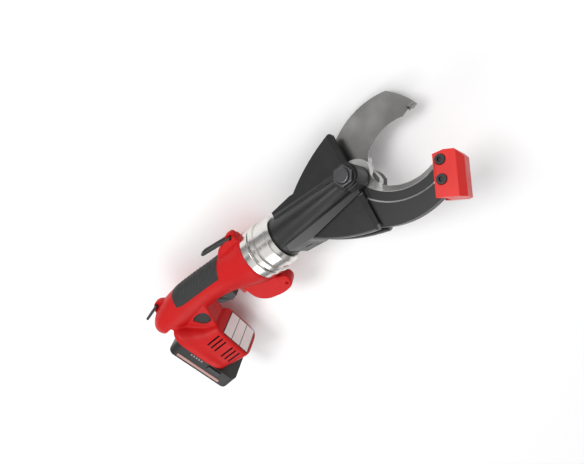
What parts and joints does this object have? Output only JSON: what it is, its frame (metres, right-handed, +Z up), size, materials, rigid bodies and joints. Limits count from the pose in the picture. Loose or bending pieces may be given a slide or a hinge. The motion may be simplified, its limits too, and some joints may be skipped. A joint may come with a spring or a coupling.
{
  "type": "hydraulic cable cutter",
  "caption": "Battery hydraulic scissor-head cable cutter: turning forked head with two curved blades, quick-change collar, D-shaped grip, trigger, motor housing and slide battery",
  "frame": {"origin": "middle of the tool's footprint, on the surface it lies on", "axes": "+X along the tool toward the jaws, +Y toward the top of the grip, +Z up, out of the side that faces up when the tool lies on its side"},
  "size_m": [0.4774, 0.1772, 0.1144],
  "materials": {
    "head_paint": "satin dark grey paint on a cast fork",
    "blade_bare": "ground and lightly satin steel",
    "blade_black": "blackened steel with a ground edge",
    "guide_red": "satin red anodised guide block",
    "black_steel": "black oxide screws and pins",
    "bolt_steel": "turned steel",
    "nickel": "bright nickel plate, turned",
    "steel": "turned steel",
    "bearing_steel": "polished hardened steel",
    "seal": "nitrile",
    "red_plastic": "satin-gloss glass-filled nylon",
    "grip_rubber": "soft overmoulded grip with slanted grooves",
    "black_plastic": "fine-grained black nylon",
    "trigger_plastic": "dark grey nylon",
    "button_red": "red nylon",
    "label_white": "laminated blank rating plates",
    "label_stripe": "faded printed stripe without text",
    "motor_steel": "plated steel can",
    "rotor_iron": "laminated core",
    "gear_steel": "cut and hardened steel",
    "pump_alloy": "milled aluminium",
    "pipe_metal": "drawn tube",
    "bladder_rubber": "nitrile bladder",
    "board_green": "circuit board with parts",
    "cell_wrap": "shrink-wrapped cells",
    "spring_steel": "spring wire"
  },
  "bodies": {
    "tool_body": {"coupling_socket": "nickel", "locking_balls": "bearing_steel", "hydraulic_cylinder": "steel", "housing_near": "red_plastic", "housing_far": "red_plastic", "housing_screws": "black_steel", "grip_cover": "grip_rubber", "label_panels": "label_white", "throat_pads": "grip_rubber", "trigger_pin": "bolt_steel", "trigger_switch": "black_plastic", "release_valve": "pump_alloy", "motor_can": "motor_steel", "pump_block": "pump_alloy", "pump_plunger": "bearing_steel", "pressure_pipe": "pipe_metal", "oil_reservoir": "bladder_rubber", "control_board": "board_green"},
    "head": {"cutter_fork": "head_paint", "pivot_bolt": "bolt_steel", "pivot_nut": "bolt_steel", "pivot_washers": "black_steel"},
    "upper_jaw": {"upper_blade": "blade_bare"},
    "lower_jaw": {"lower_blade": "blade_black", "guide_block": "guide_red", "guide_screws": "black_steel"},
    "yoke": {"push_yoke": "steel", "cross_pin": "bearing_steel", "return_spring": "spring_steel"},
    "roller_near": {"cam_roller_near": "bearing_steel"},
    "roller_far": {"cam_roller_far": "bearing_steel"},
    "ram_body": {"ram": "steel", "ram_seal": "seal"},
    "collar": {"release_collar": "nickel"},
    "trigger_lever": {"trigger": "trigger_plastic"},
    "release_key": {"release_button": "button_red"},
    "rotor": {"motor_rotor": "rotor_iron", "motor_fan": "black_plastic", "motor_pinion": "gear_steel"},
    "pump_drive": {"pump_gear": "gear_steel", "eccentric_shaft": "steel"},
    "battery": {"battery_lower_case": "black_plastic", "battery_upper_case": "black_plastic", "battery_cells": "cell_wrap", "battery_rails": "black_plastic", "battery_gauge": "black_plastic", "battery_label": "label_stripe"},
    "latch_near": {"battery_latch_near": "trigger_plastic"},
    "latch_far": {"battery_latch_far": "trigger_plastic"},
    "ring_front": {"strap_ring_front": "black_steel"},
    "ring_rear": {"strap_ring_rear": "black_steel"}
  },
  "joints": [
    {"name": "head_turn", "type": "hinge", "parent": "tool_body", "child": "head", "pos_m": [-0.00506, 0.03267, 0.05294], "axis": [1, 0, 0], "continuous": true},
    {"name": "upper_blade_swing", "type": "hinge", "parent": "head", "child": "upper_jaw", "pos_m": [0.13494, 0.03267, 0.05294], "axis": [0, -0.6428, -0.766], "range_deg": [0, 36]},
    {"name": "lower_blade_swing", "type": "hinge", "parent": "head", "child": "lower_jaw", "pos_m": [0.13494, 0.03267, 0.05294], "axis": [0, 0.6428, 0.766], "range_deg": [0, 36.01]},
    {"name": "yoke_slide", "type": "slide", "parent": "head", "child": "yoke", "axis": [1, 0, 0], "range_m": [0, 0.02401], "deforming": ["return_spring"]},
    {"name": "roller_near_spin", "type": "hinge", "parent": "yoke", "child": "roller_near", "pos_m": [0.07294, 0.03267, 0.05294], "axis": [0, 0.6428, 0.766], "continuous": true},
    {"name": "roller_far_spin", "type": "hinge", "parent": "yoke", "child": "roller_far", "pos_m": [0.07294, 0.03267, 0.05294], "axis": [0, 0.6428, 0.766], "continuous": true},
    {"name": "ram_slide", "type": "slide", "parent": "tool_body", "child": "ram_body", "axis": [1, 0, 0], "range_m": [0, 0.02401]},
    {"name": "collar_slide", "type": "slide", "parent": "tool_body", "child": "collar", "axis": [-1, 0, 0], "range_m": [0, 0.003], "stiffness_N_per_m": 4000, "springref_m": -0.001},
    {"name": "trigger_pull", "type": "hinge", "parent": "tool_body", "child": "trigger_lever", "pos_m": [-0.12156, 0.02267, 0.05294], "axis": [0, 0, 1], "range_deg": [0, 5.5], "stiffness_Nm_per_rad": 1.2, "springref_deg": -2.86},
    {"name": "release_press", "type": "slide", "parent": "tool_body", "child": "release_key", "axis": [0, 1, 0], "range_m": [0, 0.002], "stiffness_N_per_m": 1500, "springref_m": -0.0005},
    {"name": "rotor_spin", "type": "hinge", "parent": "tool_body", "child": "rotor", "pos_m": [-0.16506, -0.04033, 0.05294], "axis": [1, 0, 0], "continuous": true},
    {"name": "pump_spin", "type": "hinge", "parent": "tool_body", "child": "pump_drive", "pos_m": [-0.15506, -0.02033, 0.05294], "axis": [1, 0, 0], "continuous": true},
    {"name": "battery_slide", "type": "slide", "parent": "tool_body", "child": "battery", "axis": [0.1392, -0.9903, 0], "range_m": [0, 0.05]},
    {"name": "latch_near_press", "type": "slide", "parent": "battery", "child": "latch_near", "axis": [0, 0, -1], "range_m": [0, 0.002], "stiffness_N_per_m": 1200, "springref_m": -0.0005},
    {"name": "latch_far_press", "type": "slide", "parent": "battery", "child": "latch_far", "axis": [0, 0, 1], "range_m": [0, 0.002], "stiffness_N_per_m": 1200, "springref_m": -0.0005},
    {"name": "ring_front_swing", "type": "hinge", "parent": "tool_body", "child": "ring_front", "pos_m": [-0.03506, 0.07287, 0.05294], "axis": [0, 0, 1], "range_deg": [-100, 2]},
    {"name": "ring_rear_swing", "type": "hinge", "parent": "tool_body", "child": "ring_rear", "pos_m": [-0.20506, 0.06117, 0.05294], "axis": [0, 0, 1], "range_deg": [-100, 2]}
  ],
  "couplings": [
    {"joint": "lower_blade_swing", "follows": "upper_blade_swing", "ratio": 1},
    {"joint": "yoke_slide", "follows": "upper_blade_swing", "m_per_rad": 0.038197},
    {"joint": "ram_slide", "follows": "upper_blade_swing", "m_per_rad": 0.038197},
    {"joint": "pump_spin", "follows": "rotor_spin", "ratio": -0.33333}
  ]
}
